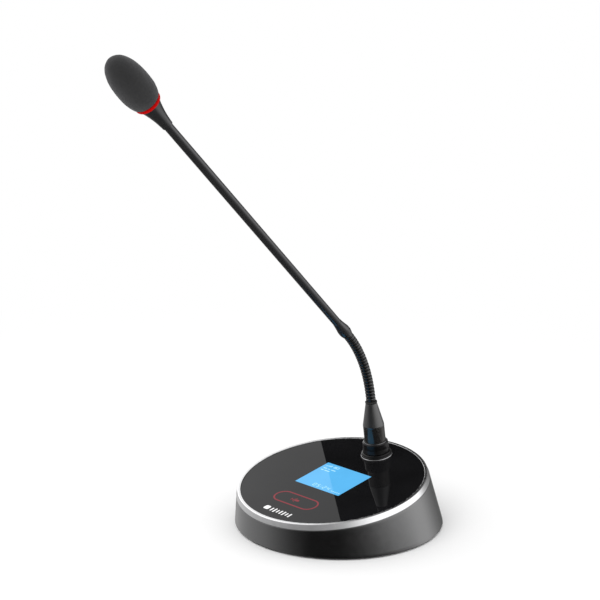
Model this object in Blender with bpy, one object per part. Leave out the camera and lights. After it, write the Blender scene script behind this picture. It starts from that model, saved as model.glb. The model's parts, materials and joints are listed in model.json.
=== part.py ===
"""Desktop gooseneck microphone unit: a round tapered base with a slanted glass top,
a plug-in gooseneck microphone with a flexible neck, a straight boom and a foam windscreen.

Sizes are in millimetres; the meshes are made in metres. +Z is up and the user sits at -Y.
The origin is the centre of the base's underside.

Three local frames place everything that is not level:
  the panel frame, in the plane of the glass top, with its z along the glass's normal;
  the socket frame, the panel frame moved to the microphone socket's axis;
  the boom frame, at the top of the flexible neck, with its z along the straight boom.
"""

import math

import bmesh
import bpy
from mathutils import Matrix, Vector

MM = 0.001
FIT = 0.3  # clearance between separate pieces that touch on the real unit

# Base
BASE_RADIUS = 80.0
BASE_FOOT_Z = 0.6  # the shell ends this far above the table
WALL = 2.6
PANEL_TILT = math.radians(8.84)
PANEL_CENTRE = Vector((0.0, -7.27, 35.36))
GLASS_RADIUS = 70.2
GLASS_THICKNESS = 2.5
RIM_RADIUS = 74.4
RIM_DEPTH = 4.1  # from the glass's surface down to the rim's lower edge
LEDGE_RADIUS = 64.0  # inner radius of the ledge that carries the panel
LEDGE_THICKNESS = 2.5
CARRIER_RADIUS = 58.0  # of the carrier's thick middle, inside the ledge and the posts
PAD_RADIUS = 76.6
COVER_RADIUS = 75.9
COVER_Z = 1.8
COVER_THICKNESS = 1.5

# Panel
SCREEN_SIZE = (45.8, 37.1)
SCREEN_CENTRE = (0.0, 0.9)
KEY_SIZE = (42.0, 16.0)
KEY_LINE = 1.4
KEY_CENTRE = (0.5, -40.3)

# Microphone socket and plug, along the socket's axis from the glass
SOCKET_Y = 50.3  # place of the socket's axis on the panel
SHELL_RADIUS = 8.9
SLEEVE_RADIUS = 7.2
BARREL_RADIUS = 8.3
BARREL_TOP = 25.0
CONE_TOP = 44.5
CONE_TOP_RADIUS = 4.4
PIN_CIRCLE = 3.2
PIN_RADIUS = 1.1

# Flexible neck
NECK_START = 46.4  # the lowest joint, above the glass
NECK_LINKS = 12
LINK_LENGTH = 5.47
NECK_EASE = 1.2  # over 1 the neck bends more towards its top
NECK_RADIUS = 3.8
NECK_GROOVE = 3.3
NECK_SHOULDER = 3.1
BALL_RADIUS = 2.5
CUP_RADIUS = 2.8
NECK_BORE = 1.0
JOINT_GAP = 0.4  # from a joint's centre to the link on each side

# Boom and head, along the boom from the neck's end
BOOM_LEAN = math.radians(44.3)
FERRULE_TOP = 16.0
TUBE_RADIUS = 3.3
TUBE_BORE = 2.5
HOLDER_START = 251.0
LIGHT_START = 273.1
LIGHT_END = 276.4
FOAM_START = 276.7
FOAM_WIDEST = 291.6
FOAM_RADIUS = 12.65
FOAM_REACH = (21.3, 27.0)  # from its widest place to where its lower and upper ends would close
FOAM_FULLNESS = 2.3  # 2 is an ellipse, and more is fuller
HOUSING_TOP = 306.0

# Fasteners and boards
COVER_SCREWS = ((50.0, -48.0), (-50.0, -48.0), (46.0, 38.0), (-46.0, 38.0))
BOARD_POSTS = ((33.0, 56.0), (-33.0, 56.0), (0.0, -14.0))
BOARD_Z = 10.0
BOARD_THICKNESS = 1.6
JACK_X = 9.6  # each jack's centre, either side of the middle
JACK_SIZE = (16.0, 14.2, 13.4)
JACK_FACE_Y = 66.2
JACK_HOLE = (11.8, 7.4, 12.5)
JACK_HOLE_Z = 18.6
PORT_SIZE = (38.4, 15.4)
PORT_Z = 18.7

WORLD = Matrix.Identity(4)
PANEL = Matrix.Translation(PANEL_CENTRE) @ Matrix.Rotation(PANEL_TILT, 4, "X")
SOCKET = PANEL @ Matrix.Translation((0.0, SOCKET_Y, 0.0))


# Materials: name, colour, roughness, metallic
MATERIALS = {
    "graphite": ((0.075, 0.076, 0.08), 0.38, 0.7),
    "bright_metal": ((0.82, 0.83, 0.85), 0.22, 1.0),
    "black_glass": ((0.006, 0.006, 0.007), 0.06, 0.0),
    "screen_blue": ((0.11, 0.49, 0.86), 0.2, 0.0),
    "black_plastic": ((0.02, 0.02, 0.022), 0.5, 0.0),
    "black_metal": ((0.022, 0.022, 0.024), 0.35, 0.6),
    "red_light": ((0.75, 0.01, 0.008), 0.3, 0.0),
    "steel": ((0.5, 0.51, 0.52), 0.35, 1.0),
    "brass": ((0.7, 0.52, 0.25), 0.3, 1.0),
    "gold_contact": ((0.85, 0.62, 0.2), 0.25, 1.0),
    "board_green": ((0.02, 0.13, 0.06), 0.5, 0.0),
    "rubber": ((0.015, 0.015, 0.015), 0.8, 0.0),
    "foam": ((0.045, 0.045, 0.047), 1.0, 0.0),
}


def clear_scene():
    for obj in list(bpy.data.objects):
        bpy.data.objects.remove(obj)


def material(name):
    found = bpy.data.materials.get(name)
    if found:
        return found
    colour, roughness, metallic = MATERIALS[name]
    made = bpy.data.materials.new(name)
    made.use_nodes = True
    shader = made.node_tree.nodes["Principled BSDF"]
    shader.inputs["Base Color"].default_value = (*colour, 1.0)
    shader.inputs["Roughness"].default_value = roughness
    shader.inputs["Metallic"].default_value = metallic
    made.diffuse_color = (*colour, 1.0)
    return made


def scaled(frame):
    """The frame with its place in metres."""
    return Matrix.Translation(frame.to_translation() * MM) @ frame.to_3x3().to_4x4()


def add_object(name, bm, frame, material_name):
    """Turns a bmesh in millimetres into an object that stands in the given frame."""
    bmesh.ops.remove_doubles(bm, verts=bm.verts, dist=0.001)
    bmesh.ops.recalc_face_normals(bm, faces=bm.faces)
    bmesh.ops.scale(bm, vec=(MM, MM, MM), verts=bm.verts)
    mesh = bpy.data.meshes.new(name)
    bm.to_mesh(mesh)
    bm.free()
    mesh.shade_smooth()
    mesh.set_sharp_from_angle(angle=math.radians(35))
    mesh.materials.append(material(material_name))
    obj = bpy.data.objects.new(name, mesh)
    bpy.context.scene.collection.objects.link(obj)
    obj.matrix_world = scaled(frame)
    return obj


def turned(name, profile, frame, material_name, sides=32):
    """A turned piece. The profile's (radius, height) points run round its half section;
    one that starts and ends on the axis is a solid, and any other is a ring."""
    bm = bmesh.new()
    points = [bm.verts.new((r, 0.0, h)) for r, h in profile]
    on_axis = profile[0][0] == 0.0 and profile[-1][0] == 0.0
    ends = points[1:] if on_axis else points[1:] + points[:1]
    edges = [bm.edges.new(pair) for pair in zip(points, ends)]
    bmesh.ops.spin(
        bm, geom=points + edges, cent=(0, 0, 0), axis=(0, 0, 1),
        angle=math.tau, steps=sides, use_merge=True, use_duplicate=False,
    )
    return add_object(name, bm, frame, material_name)


def block(name, size, centre, frame, material_name):
    bm = bmesh.new()
    bmesh.ops.create_cube(bm, size=1.0)
    bmesh.ops.scale(bm, vec=size, verts=bm.verts)
    bmesh.ops.translate(bm, vec=centre, verts=bm.verts)
    return add_object(name, bm, frame, material_name)


def slab(name, outline, low, high, frame, material_name):
    """An outline in the frame's xy plane, extruded from low to high."""
    bm = bmesh.new()
    face = bm.faces.new([bm.verts.new((x, y, low)) for x, y in outline])
    made = bmesh.ops.extrude_face_region(bm, geom=[face])["geom"]
    moved = [item for item in made if isinstance(item, bmesh.types.BMVert)]
    bmesh.ops.translate(bm, vec=(0, 0, high - low), verts=moved)
    return add_object(name, bm, frame, material_name)


def lofted(name, rings, material_name, sides=72):
    """A closed ring-shaped body through circles, each a (frame, radius) pair, in order."""
    bm = bmesh.new()
    loops = []
    for frame, radius in rings:
        angles = [math.tau * i / sides for i in range(sides)]
        loops.append([
            bm.verts.new(frame @ Vector((radius * math.cos(a), radius * math.sin(a), 0)))
            for a in angles
        ])
    for low, high in zip(loops, loops[1:] + loops[:1]):
        for i in range(sides):
            j = (i + 1) % sides
            bm.faces.new((low[i], low[j], high[j], high[i]))
    return add_object(name, bm, WORLD, material_name)


def boolean(target, other, operation):
    modifier = target.modifiers.new(other.name, "BOOLEAN")
    modifier.operation = operation
    modifier.object = other
    modifier.solver = "EXACT"
    other.hide_render = True
    other.display_type = "WIRE"


def cut(target, *cutters):
    for cutter in cutters:
        boolean(target, cutter, "DIFFERENCE")


def rod(name, radius, low, high, frame, material_name="steel", sides=16):
    profile = ((0.0, low), (radius, low), (radius, high), (0.0, high))
    return turned(name, profile, frame, material_name, sides)


def tube(name, bore, radius, low, high, frame, material_name, sides=32):
    profile = ((bore, low), (radius, low), (radius, high), (bore, high))
    return turned(name, profile, frame, material_name, sides)


def stadium(size, centre, steps=12):
    """A rectangle with fully round ends."""
    length, width = size
    radius = width / 2
    points = []
    for side, start in ((1, -math.pi / 2), (-1, math.pi / 2)):
        x = centre[0] + side * (length / 2 - radius)
        for i in range(steps + 1):
            a = start + math.pi * i / steps
            points.append((x + radius * math.cos(a), centre[1] + radius * math.sin(a)))
    return points


def at(x, y, z=0.0):
    return Matrix.Translation((x, y, z))


# Base: shell, rim, glass


def make_base_shell():
    inner_foot = BASE_RADIUS - WALL
    top = PANEL @ at(0, 0, -RIM_DEPTH - FIT)
    under = PANEL @ at(0, 0, -RIM_DEPTH - FIT - LEDGE_THICKNESS)
    rings = (
        (at(0, 0, BASE_FOOT_Z), BASE_RADIUS - 0.6),
        (at(0, 0, BASE_FOOT_Z + 0.6), BASE_RADIUS),
        (top, RIM_RADIUS),
        (top, LEDGE_RADIUS),
        (under, LEDGE_RADIUS),
        (under, RIM_RADIUS - WALL - 0.4),
        (at(0, 0, BASE_FOOT_Z), inner_foot),
    )
    shell = lofted("base_shell", rings, "graphite")
    for number, (x, y) in enumerate(COVER_SCREWS, 1):
        height = (PANEL @ Vector((x, y - PANEL_CENTRE.y, -RIM_DEPTH - 1.6))).z
        post = rod(f"post_{number}", 4.0, 3.7, height, at(x, y), "graphite")
        boolean(shell, post, "UNION")
        cut(shell, rod(f"post_hole_{number}", 1.7, 1.0, 13.0, at(x, y)))
    width, height = PORT_SIZE
    window = (width + 0.6, 30.0, height + 0.6)
    cut(shell, block("port_window", window, (0, 80.0, PORT_Z), WORLD, "graphite"))


def make_rim():
    inner = GLASS_RADIUS + FIT
    profile = (
        (inner, -RIM_DEPTH + 0.1),
        (RIM_RADIUS - 0.1, -RIM_DEPTH),
        (RIM_RADIUS, -RIM_DEPTH + 0.3),
        (RIM_RADIUS - 0.2, -3.0),
        (73.25, -0.2),
        (73.05, 0.0),
        (72.95, -0.3),
        (72.75, -0.3),
        (72.6, 0.25),
        (72.2, 0.5),
        (inner + 0.2, 0.5),
        (inner, 0.3),
    )
    turned("rim_ring", profile, PANEL, "bright_metal", sides=72)


def screen_cutter(name, margin):
    width, height = SCREEN_SIZE
    x, y = SCREEN_CENTRE
    size = (width + 2 * margin, height + 2 * margin, 20.0)
    return block(name, size, (x, y, 0.0), PANEL, "black_plastic")


def make_glass():
    profile = (
        (0.0, -GLASS_THICKNESS),
        (GLASS_RADIUS, -GLASS_THICKNESS),
        (GLASS_RADIUS, -0.3),
        (GLASS_RADIUS - 0.3, 0.0),
        (0.0, 0.0),
    )
    glass = turned("glass_panel", profile, PANEL, "black_glass", sides=72)
    hole = rod("glass_socket_hole", SHELL_RADIUS + FIT, -10, 10, SOCKET, sides=32)
    cut(glass, screen_cutter("glass_screen_hole", FIT), hole)


def make_panel_carrier():
    """The die-cast plate under the glass that carries the socket, screen and key."""
    profile = (
        (0.0, -6.0),
        (CARRIER_RADIUS, -6.0),
        (CARRIER_RADIUS, -RIM_DEPTH),
        (GLASS_RADIUS, -RIM_DEPTH),
        (GLASS_RADIUS, -GLASS_THICKNESS - FIT),
        (0.0, -GLASS_THICKNESS - FIT),
    )
    carrier = turned("panel_carrier", profile, PANEL, "steel", sides=48)
    hole = rod("carrier_socket_hole", SHELL_RADIUS + FIT, -10, 10, SOCKET, sides=32)
    key = stadium((KEY_SIZE[0] + 1, KEY_SIZE[1] + 1), KEY_CENTRE)
    key_hole = slab("carrier_key_hole", key, -20, 20, PANEL, "steel")
    cut(carrier, screen_cutter("carrier_screen_hole", 0.5), hole, key_hole)


def make_screen():
    width, height = SCREEN_SIZE
    x, y = SCREEN_CENTRE
    block("display_screen", (width, height, 5.9), (x, y, -3.05), PANEL, "screen_blue")
    frame_size = (width + 6, height + 6, 3.2)
    block("display_frame", frame_size, (x, y, -7.95), PANEL, "steel")


def make_talk_key():
    ring = slab("talk_key_light_guide", stadium(KEY_SIZE, KEY_CENTRE), -5.9, -2.9,
                PANEL, "red_light")
    inside = (KEY_SIZE[0] - 2 * KEY_LINE, KEY_SIZE[1] - 2 * KEY_LINE)
    cut(ring, slab("key_inside", stadium(inside, KEY_CENTRE), -20, 20, PANEL, "red_light"))
    x, y = KEY_CENTRE
    block("talk_key_board", (50.0, 18.0, 1.6), (x, y, -7.2), PANEL, "board_green")


# Base: inside and underside


def make_bottom():
    pad = turned(
        "anti_slip_pad",
        ((0, 0), (PAD_RADIUS - 0.4, 0), (PAD_RADIUS, 0.4), (PAD_RADIUS, 1.5), (0, 1.5)),
        WORLD, "rubber", sides=64,
    )
    cover = rod("bottom_cover", COVER_RADIUS, COVER_Z, COVER_Z + COVER_THICKNESS,
                WORLD, "black_metal", sides=64)
    for number, (x, y) in enumerate(COVER_SCREWS, 1):
        cut(pad, rod(f"pad_hole_{number}", 4.0, -5, 5, at(x, y)))
        cut(cover, rod(f"cover_hole_{number}", 1.7, -5, 9, at(x, y)))
        make_screw(f"cover_screw_{number}", at(x, y, 1.5) @ Matrix.Rotation(math.pi, 4, "X"),
                   head=1.1, length=10.0)


def make_screw(name, frame, head, length):
    """A socket-head screw whose head stands on the frame's xy plane."""
    profile = (
        (0.0, -length),
        (1.1, -length),
        (1.4, -length + 0.5),
        (1.4, 0.0),
        (3.0, 0.0),
        (3.0, head - 0.3),
        (2.7, head),
        (0.0, head),
    )
    screw = turned(name, profile, frame, "steel", sides=16)
    cut(screw, rod(f"{name}_socket", 1.3, head - 0.7, head + 2, frame, sides=6))


def make_ballast():
    ballast = rod("ballast_plate", 55.0, 3.6, 8.6, at(0, -5), "steel", sides=48)
    x, y = BOARD_POSTS[2]
    cut(ballast, rod("ballast_hole", 4.5, -5, 20, at(x, y)))


def make_main_board():
    outline = ((-38, -20), (38, -20), (38, 59), (20, 66), (-20, 66), (-38, 59))
    top = BOARD_Z + BOARD_THICKNESS
    board = slab("main_board", outline, BOARD_Z, top, WORLD, "board_green")
    for number, (x, y) in enumerate(BOARD_POSTS, 1):
        cut(board, rod(f"board_hole_{number}", 1.7, 0, 30, at(x, y)))
        tube(f"board_standoff_{number}", 1.7, 3.0, 3.6, BOARD_Z - FIT,
             at(x, y), "brass", sides=12)
        make_screw(f"board_screw_{number}", at(x, y, top + FIT), head=1.6, length=7.0)


def make_jack(name, side):
    """A network jack on the main board, open towards the back."""
    width, depth, height = JACK_SIZE
    bottom = BOARD_Z + BOARD_THICKNESS + FIT
    centre = (side * JACK_X, JACK_FACE_Y - depth / 2, bottom + height / 2)
    jack = block(name, JACK_SIZE, centre, WORLD, "black_plastic")
    hole_width, hole_height, hole_depth = JACK_HOLE
    hole = (hole_width, hole_depth + 5, hole_height)
    place = (side * JACK_X, JACK_FACE_Y - hole_depth / 2 + 2.5, JACK_HOLE_Z)
    cut(jack, block(f"{name}_hole", hole, place, WORLD, "black_plastic"))


def make_port_bezel():
    """The tray round the jacks: a back plate with two windows and four walls out to the
    shell's sloping outer surface."""
    width, height = PORT_SIZE
    low_y, plate_y, wall = JACK_FACE_Y + FIT, JACK_FACE_Y + 1.8, 1.2
    size = (width, 20.0, height)
    bezel = block("port_bezel", size, (0, low_y + 10, PORT_Z), WORLD, "black_plastic")
    hollow = (width - 2 * wall, 20.0, height - 2 * wall)
    cut(bezel, block("bezel_hollow", hollow, (0, plate_y + 10, PORT_Z), WORLD,
                     "black_plastic"))
    for side in (-1, 1):
        hole = (JACK_HOLE[0] + 0.6, 20.0, JACK_HOLE[1] + 0.6)
        place = (side * JACK_X, low_y, JACK_HOLE_Z)
        cut(bezel, block(f"bezel_hole_{side + 2}", hole, place, WORLD, "black_plastic"))
    outside = lofted(
        "shell_outside",
        (
            (at(0, 0, BASE_FOOT_Z + 0.6), BASE_RADIUS - 0.2),
            (PANEL @ at(0, 0, -RIM_DEPTH - FIT), RIM_RADIUS - 0.2),
            (PANEL @ at(0, 0, -RIM_DEPTH - FIT), 20.0),
            (at(0, 0, BASE_FOOT_Z + 0.6), 20.0),
        ),
        "graphite",
    )
    boolean(bezel, outside, "INTERSECT")


# Microphone socket


def make_socket():
    flange = (
        (SHELL_RADIUS + FIT, 0.3),
        (12.1, 0.3),
        (12.35, 0.6),
        (12.3, 1.1),
        (11.8, 2.4),
        (11.3, 3.1),
        (10.8, 3.5),
        (SHELL_RADIUS + FIT, 3.5),
    )
    turned("socket_flange", flange, SOCKET, "black_metal", sides=32)
    tube("socket_shell", 7.5, SHELL_RADIUS, -17.0, 3.2, SOCKET, "black_metal")
    insert = (
        (0.0, -16.7),
        (SLEEVE_RADIUS, -16.7),
        (SLEEVE_RADIUS, -10.5),
        (6.1, -10.5),
        (6.1, -1.5),
        (0.0, -1.5),
    )
    insulator = turned("socket_insert", insert, SOCKET, "black_plastic", sides=24)
    for number, place in enumerate(pin_places(), 1):
        cut(insulator, rod(f"contact_hole_{number}", PIN_RADIUS + 0.4, -13, 5, place))
    tube("socket_nut", SHELL_RADIUS + FIT, 12.0, -9.5, -6.3, SOCKET, "brass", sides=24)


def pin_places():
    angles = (math.radians(a) for a in (90, 210, 330))
    return [
        SOCKET @ at(PIN_CIRCLE * math.cos(a), PIN_CIRCLE * math.sin(a)) for a in angles
    ]


# Gooseneck microphone: plug


def make_plug():
    collar = (
        (BARREL_RADIUS + FIT, 3.8),
        (10.3, 3.8),
        (10.5, 4.1),
        (10.1, 7.0),
        (9.9, 11.8),
        (9.4, 12.5),
        (BARREL_RADIUS + FIT, 12.5),
    )
    turned("lock_collar", collar, SOCKET, "black_metal", sides=32)
    barrel = (
        (6.4, -10.0),
        (SLEEVE_RADIUS, -10.0),
        (SLEEVE_RADIUS, 3.8),
        (BARREL_RADIUS, 3.8),
        (BARREL_RADIUS, BARREL_TOP),
        (6.4, BARREL_TOP),
    )
    turned("plug_barrel", barrel, SOCKET, "black_metal", sides=28)
    insert = rod("plug_insert", 6.1, 2.0, 10.0, SOCKET, "black_plastic", sides=24)
    for number, place in enumerate(pin_places(), 1):
        cut(insert, rod(f"insert_hole_{number}", PIN_RADIUS + FIT, -5, 20, place))
        rod(f"plug_pin_{number}", PIN_RADIUS, -10.0, 13.0, place, "gold_contact", 12)
    cone = (
        (5.0, 18.0),
        (6.1, 18.0),
        (6.1, BARREL_TOP + FIT),
        (BARREL_RADIUS, BARREL_TOP + FIT),
        (CONE_TOP_RADIUS, CONE_TOP - FIT),
        (CONE_TOP_RADIUS - 0.2, CONE_TOP),
        (2.2, CONE_TOP),
        (2.2, 37.0),
        (5.0, 26.0),
    )
    turned("plug_cone", cone, SOCKET, "graphite", sides=28)


def make_neck_bush():
    top = NECK_START - JOINT_GAP
    ball = ball_arc(NECK_START)
    profile = (
        (NECK_BORE, 40.0),
        (1.9, 40.0),
        (1.9, CONE_TOP + FIT),
        (4.5, CONE_TOP + FIT),
        (4.7, CONE_TOP + 0.6),
        (4.7, top - 0.4),
        (3.9, top),
        *ball,
    )
    turned("neck_bush", profile, SOCKET, "rubber", sides=16)


# Gooseneck microphone: flexible neck


def ball_arc(centre, steps=3):
    """The ball's section from the link's shoulder up to its bore."""
    first = math.asin(-JOINT_GAP / BALL_RADIUS)
    last = math.acos(NECK_BORE / BALL_RADIUS)
    angles = [first + (last - first) * i / steps for i in range(steps + 1)]
    return [
        (BALL_RADIUS * math.cos(a), centre + BALL_RADIUS * math.sin(a)) for a in angles
    ]


def cup_arc(steps=3):
    """The hollow that sits over the ball below, from the bore down to the rim."""
    first = math.acos(NECK_BORE / CUP_RADIUS)
    last = math.asin(JOINT_GAP / CUP_RADIUS)
    angles = [first + (last - first) * i / steps for i in range(steps + 1)]
    return [(CUP_RADIUS * math.cos(a), CUP_RADIUS * math.sin(a)) for a in angles]


def link_lean(number):
    """How far a link leans from upright: from the socket's tilt to the boom's lean."""
    share = ((number - 0.5) / NECK_LINKS) ** NECK_EASE
    return PANEL_TILT + (BOOM_LEAN - PANEL_TILT) * share


def lean_direction(lean):
    return Vector((0.0, -math.sin(lean), math.cos(lean)))


def neck_joints():
    """The centres of the joints, the lowest first, and the neck's end."""
    points = [SOCKET @ Vector((0, 0, NECK_START))]
    for number in range(1, NECK_LINKS + 1):
        points.append(points[-1] + LINK_LENGTH * lean_direction(link_lean(number)))
    return points


def link_frame(number):
    place = Matrix.Translation(neck_joints()[number - 1])
    return place @ Matrix.Rotation(link_lean(number), 4, "X")


def make_neck_link(number):
    """One link: two ribs of the flexible neck, a cup below and a ball above."""
    top = LINK_LENGTH - JOINT_GAP
    middle = LINK_LENGTH / 2
    last = number == NECK_LINKS
    above = [(NECK_BORE, LINK_LENGTH - 0.1)] if last else ball_arc(LINK_LENGTH)
    rib_top = LINK_LENGTH - 0.1 if last else top
    profile = (
        *cup_arc(),
        (NECK_SHOULDER, JOINT_GAP),
        (NECK_RADIUS, JOINT_GAP + 0.6),
        (NECK_RADIUS, middle - 0.8),
        (NECK_GROOVE, middle - 0.3),
        (NECK_GROOVE, middle + 0.3),
        (NECK_RADIUS, middle + 0.8),
        (NECK_RADIUS, rib_top - 0.6),
        (NECK_SHOULDER, rib_top),
        *above,
    )
    turned(f"neck_link_{number}", profile, link_frame(number), "black_metal", sides=12)


# Gooseneck microphone: boom and head


def boom_frame():
    place = Matrix.Translation(neck_joints()[-1])
    return place @ Matrix.Rotation(BOOM_LEAN, 4, "X")


def make_boom(frame):
    ferrule = (
        (1.3, 0.3),
        (4.1, 0.3),
        (4.5, 0.8),
        (4.85, 2.4),
        (4.95, 4.4),
        (4.75, 6.9),
        (4.25, 9.8),
        (3.75, 12.8),
        (TUBE_RADIUS + 0.15, FERRULE_TOP),
        (2.0, FERRULE_TOP),
        (2.0, FERRULE_TOP + 7),
        (1.3, FERRULE_TOP + 7),
    )
    turned("neck_ferrule", ferrule, frame, "black_metal", sides=24)
    tube("boom_tube", TUBE_BORE, TUBE_RADIUS, FERRULE_TOP + FIT, HOLDER_START + 5,
         frame, "black_metal", sides=24)
    rod("boom_cable", 0.95, 1.0, 260.0, frame, "rubber", sides=8)


def holder_outside(steps=5):
    """The holder's flare: slender at the tube and full at the light ring."""
    points = []
    for i in range(steps + 1):
        share = i / steps
        radius = 4.05 + 3.4 * (0.4 * share + 0.6 * share**2)
        points.append((radius, HOLDER_START + (LIGHT_START - FIT - HOLDER_START) * share))
    return points


def make_head(frame):
    holder = (
        *holder_outside(),
        (4.9, LIGHT_START - FIT),
        (4.9, 263.0),
        (2.2, 258.0),
        (2.2, HOLDER_START + 5.3),
        (TUBE_RADIUS + FIT, HOLDER_START + 5.3),
        (TUBE_RADIUS + FIT, HOLDER_START),
    )
    turned("head_holder", holder, frame, "black_plastic", sides=24)
    middle = (LIGHT_START + LIGHT_END) / 2
    ring = (
        (6.9, LIGHT_START),
        (8.9, LIGHT_START),
        (9.7, middle - 0.7),
        (9.9, middle),
        (9.7, middle + 0.7),
        (9.2, LIGHT_END),
        (6.9, LIGHT_END),
    )
    turned("light_ring", ring, frame, "red_light", sides=32)
    tube("light_ring_board", 5.0, 6.6, middle - 0.6, middle + 0.6, frame, "board_green",
         sides=24)
    make_capsule(frame)


def make_capsule(frame):
    housing = (
        (3.6, 264.0),
        (4.6, 264.0),
        (4.6, 276.5),
        (6.2, 276.5),
        (6.2, HOUSING_TOP),
        (4.8, HOUSING_TOP),
        (4.8, HOUSING_TOP - 1),
        (5.6, HOUSING_TOP - 1),
        (5.6, 278.0),
        (3.6, 278.0),
    )
    cage = turned("capsule_housing", housing, frame, "black_metal", sides=24)
    for number, size in enumerate(((20.0, 2.0, 8.0), (2.0, 20.0, 8.0)), 1):
        cut(cage, block(f"sound_slot_{number}", size, (0, 0, 286.0), frame, "black_metal"))
    tube("capsule_mount", 2.0, 5.3, 293.0, 296.7, frame, "rubber", sides=24)
    rod("mic_capsule", 5.0, 297.0, HOUSING_TOP - 1.3, frame, "bright_metal", sides=24)


def foam_outline(steps=(4, 6)):
    """The foam's outer section, from its lower edge up to its tip."""
    low, high = FOAM_REACH
    power = 2 / FOAM_FULLNESS
    first = math.asin(((FOAM_WIDEST - FOAM_START) / low) ** (FOAM_FULLNESS / 2))
    below = [-first * (1 - i / steps[0]) for i in range(steps[0])]
    above = [math.pi / 2 * i / steps[1] for i in range(steps[1])]
    points = []
    for angle in below + above:
        reach = low if angle < 0 else high
        along = math.copysign(abs(math.sin(angle)) ** power, angle) * reach
        points.append((FOAM_RADIUS * math.cos(angle) ** power, FOAM_WIDEST + along))
    return points


def make_windscreen(frame):
    """A slip-on foam ball: a blunt egg outside, and a blind bore over the capsule housing."""
    bore = 6.5
    profile = (
        (0.0, HOUSING_TOP + 1.0),
        (bore, HOUSING_TOP + 1.0),
        (bore, FOAM_START),
        *foam_outline(),
        (0.0, FOAM_WIDEST + FOAM_REACH[1]),
    )
    turned("foam_windscreen", profile, frame, "foam", sides=24)


def main():
    clear_scene()
    make_base_shell()
    make_rim()
    make_glass()
    make_panel_carrier()
    make_screen()
    make_talk_key()
    make_bottom()
    make_ballast()
    make_main_board()
    make_jack("bus_in_jack", -1)
    make_jack("bus_out_jack", 1)
    make_port_bezel()
    make_socket()
    make_plug()
    make_neck_bush()
    for number in range(1, NECK_LINKS + 1):
        make_neck_link(number)
    boom = boom_frame()
    make_boom(boom)
    make_head(boom)
    make_windscreen(boom)


main()
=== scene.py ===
"""The looks of the desktop gooseneck microphone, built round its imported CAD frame.

Sizes are in millimetres and the pieces are made in metres, in the CAD's own frame: +Z is up
and the user sits at -Y. The panel, socket, boom and link frames are read from the joints and
boxes of the CAD nodes.
"""

import json
import math

import bmesh
import bpy
from mathutils import Matrix, Vector, noise


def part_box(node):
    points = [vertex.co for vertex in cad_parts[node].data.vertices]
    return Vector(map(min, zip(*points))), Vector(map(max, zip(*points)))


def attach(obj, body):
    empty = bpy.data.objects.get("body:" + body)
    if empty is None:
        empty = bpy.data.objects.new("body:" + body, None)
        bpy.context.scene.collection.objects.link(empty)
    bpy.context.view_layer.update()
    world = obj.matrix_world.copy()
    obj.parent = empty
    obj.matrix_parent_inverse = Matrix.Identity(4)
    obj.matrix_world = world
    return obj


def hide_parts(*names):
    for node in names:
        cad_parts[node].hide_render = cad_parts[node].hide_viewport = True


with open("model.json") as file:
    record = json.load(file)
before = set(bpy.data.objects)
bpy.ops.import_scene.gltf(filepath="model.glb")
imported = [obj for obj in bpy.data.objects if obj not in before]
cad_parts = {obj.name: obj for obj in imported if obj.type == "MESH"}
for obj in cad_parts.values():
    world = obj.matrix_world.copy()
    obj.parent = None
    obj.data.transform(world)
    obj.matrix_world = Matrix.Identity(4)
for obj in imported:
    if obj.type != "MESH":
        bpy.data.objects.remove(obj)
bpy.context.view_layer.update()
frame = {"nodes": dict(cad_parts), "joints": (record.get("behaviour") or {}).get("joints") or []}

MM = 0.001
JOINTS = {joint["name"]: joint for joint in frame["joints"]}


def middle(node):
    """The middle of a CAD node's box, in millimetres."""
    low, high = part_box(node)
    return (low + high) / 2 / MM


def joint_place(name):
    """A joint's place, in millimetres."""
    return Vector(JOINTS[name]["pos_m"]) / MM


def leaning(place, direction):
    """A frame at a place whose z runs along a direction that leans in the x = 0 plane."""
    lean = math.atan2(-direction.y, direction.z)
    return Matrix.Translation(place) @ Matrix.Rotation(lean, 4, "X")


# The frames that everything is placed in
WORLD = Matrix.Identity(4)
GLASS_THICKNESS = 2.5
PANEL_NORMAL = Vector(JOINTS["mic_unplug"]["axis"])
PANEL = leaning(middle("glass_panel") + PANEL_NORMAL * GLASS_THICKNESS / 2, PANEL_NORMAL)
COLLAR_MIDDLE = 8.0  # the lock collar's joint sits this far above the glass
SOCKET = leaning(joint_place("lock_collar_turn") - PANEL_NORMAL * COLLAR_MIDDLE, PANEL_NORMAL)
BOOM_AXIS = Vector(JOINTS["windscreen_pull"]["axis"])
TUBE_START, TUBE_END = 16.3, 256.0  # of the CAD's tube, from the neck's end
NECK_END = middle("boom_tube") - BOOM_AXIS * (TUBE_START + TUBE_END) / 2
BOOM = leaning(NECK_END, BOOM_AXIS)

FIT = 0.05  # clearance between two fitted pieces

# Base
BASE_RADIUS = 80.0
FOOT_Z = 0.6
WALL = 2.6
WALL_SIDES = 240
WALL_STEPS = 12  # rows of faces up the wall, which keep its shading even round the ports
LEDGE_RADIUS = 66.0  # inner radius of the ledge that carries the glass
LEDGE_THICKNESS = 2.5
GLASS_RADIUS = 70.6
RIM_RADIUS = 74.4
RIM_DEPTH = 4.1
PORT_SIZE = (39.0, 16.0)
PORT_Z = 18.7
PORT_CUT = (-110.0, -50.0)  # -Y at the two ends of the port's cutter
CONTACT_SIZE = (0.45, 7.5, 0.35)
CONTACT_PITCH = 1.02
CONTACT_Z = 21.4
CONTACT_DEPTH = 7.0  # from a jack's inner end to the middle of its contacts
CONTACTS = 8  # in each jack
PAD_RADIUS = 76.6
PAD_THICKNESS = 1.5
PAD_HOLE_RADIUS = 4.0

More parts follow.
